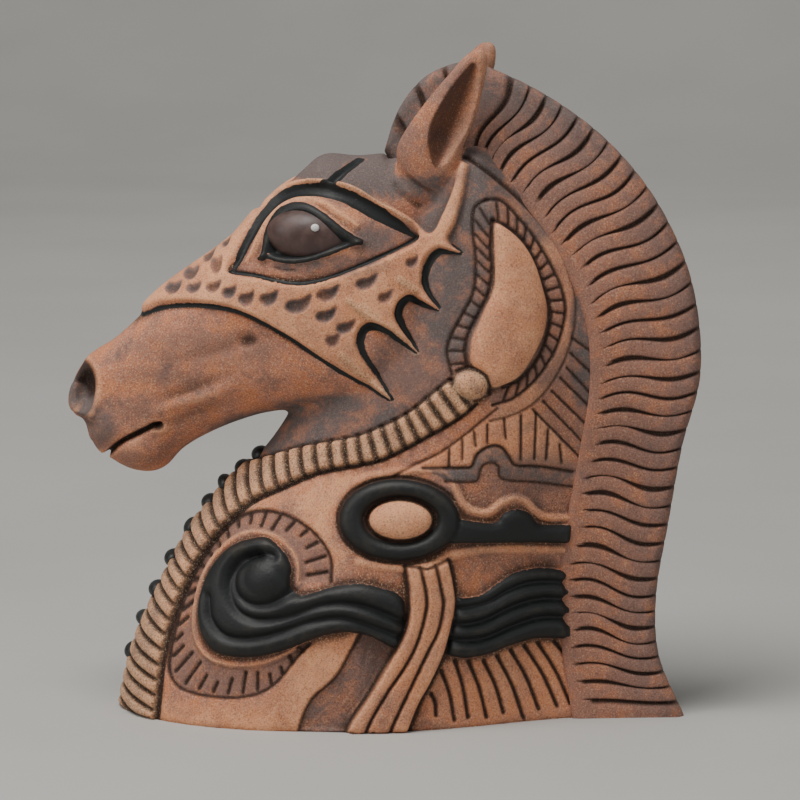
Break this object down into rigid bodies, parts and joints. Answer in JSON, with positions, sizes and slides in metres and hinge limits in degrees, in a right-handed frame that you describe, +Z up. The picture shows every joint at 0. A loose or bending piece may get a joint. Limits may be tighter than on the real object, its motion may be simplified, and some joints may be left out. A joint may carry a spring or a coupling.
{
  "type": "ceramic horse head bust",
  "caption": "Fired-clay horse head and neck on its own flat base, with carved and raised relief, a pitted mask, a ribbed collar and an upright fluted mane.",
  "frame": {"origin": "centre of the bounding box of the plan, on the flat underside", "axes": "+Z up, -X the way the muzzle points, -Y the animal's left side"},
  "size_m": [0.3944, 0.1462, 0.418],
  "materials": {
    "clay": "matte, grogged, with dark wash in the recesses",
    "eyeball": "satin dark brown slip with a white dot",
    "black_slip": "satin black slip"
  },
  "bodies": {
    "root": {"horse_head": "clay"}
  },
  "joints": []
}
